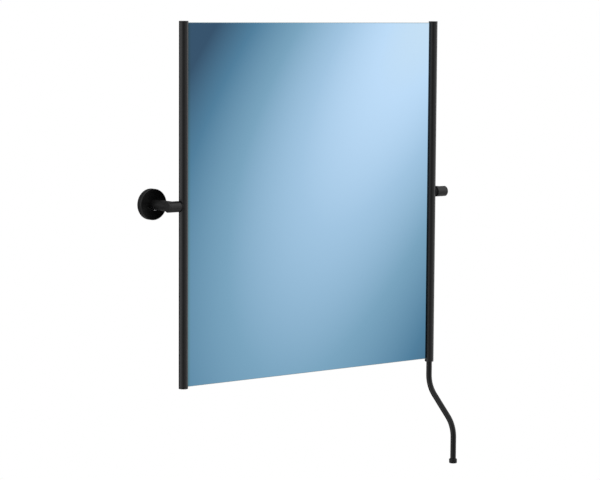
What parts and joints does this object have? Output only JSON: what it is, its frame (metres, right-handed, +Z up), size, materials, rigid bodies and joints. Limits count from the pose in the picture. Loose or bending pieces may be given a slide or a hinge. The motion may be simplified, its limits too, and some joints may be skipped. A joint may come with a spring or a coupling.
{
  "type": "pivot wall mirror",
  "caption": "Rectangular mirror between two round black rails that tilts on two horizontal wall pivots, moved by a bent hand lever under one rail.",
  "frame": {"origin": "on the wall plane, midway between the two wall brackets and level with the pivots", "axes": "+X right along the wall seen from the front, +Y into the wall, +Z up"},
  "size_m": [0.6274, 0.139, 0.7759],
  "materials": {
    "satin_black_coat": "satin powder coat with a fine orange peel",
    "zinc_plated_steel": "dull zinc plating",
    "bright_steel": "bright turned steel",
    "blackened_steel": "turned steel with a black oxide finish",
    "bearing_bronze": "dull sintered bronze",
    "black_rubber": "matt",
    "friction_nylon": "matt black nylon",
    "mirror_glass": "silvered float glass, clean",
    "bond_film": "matt"
  },
  "bodies": {
    "wall_brackets": {"wall_plate_left": "zinc_plated_steel", "wall_plate_right": "zinc_plated_steel", "rosette_left": "satin_black_coat", "rosette_right": "satin_black_coat", "bracket_arm_left": "satin_black_coat", "bracket_arm_right": "satin_black_coat", "post_grub_screw_left": "bright_steel", "post_grub_screw_right": "bright_steel", "pivot_bush_left": "bearing_bronze", "pivot_bush_right": "bearing_bronze", "friction_washer_left": "friction_nylon", "friction_washer_right": "friction_nylon", "inner_washer_left": "bright_steel", "inner_washer_right": "bright_steel", "housing_cap_left": "satin_black_coat", "housing_cap_right": "satin_black_coat"},
    "mirror_frame": {"pivot_shaft_left": "blackened_steel", "pivot_shaft_right": "blackened_steel", "spring_washer_left": "bright_steel", "spring_washer_right": "bright_steel", "lock_nut_left": "bright_steel", "lock_nut_right": "bright_steel", "rail_insert_left": "zinc_plated_steel", "rail_insert_right": "zinc_plated_steel", "rail_left": "satin_black_coat", "rail_right": "satin_black_coat", "edge_gasket_left": "black_rubber", "edge_gasket_right": "black_rubber", "rail_top_plug_left": "satin_black_coat", "rail_top_plug_right": "satin_black_coat", "rail_bottom_plug_left": "satin_black_coat", "lever_socket": "satin_black_coat", "lever_grub_screw": "bright_steel", "lever_rod": "satin_black_coat", "lever_tip": "satin_black_coat", "mirror_glass": "mirror_glass", "bond_film": "bond_film", "backing_panel": "satin_black_coat"}
  },
  "joints": [
    {"name": "mirror_tilt", "type": "hinge", "parent": "wall_brackets", "child": "mirror_frame", "pos_m": [0, -0.065, 0], "axis": [1, 0, 0], "range_deg": [-9, 9]}
  ]
}
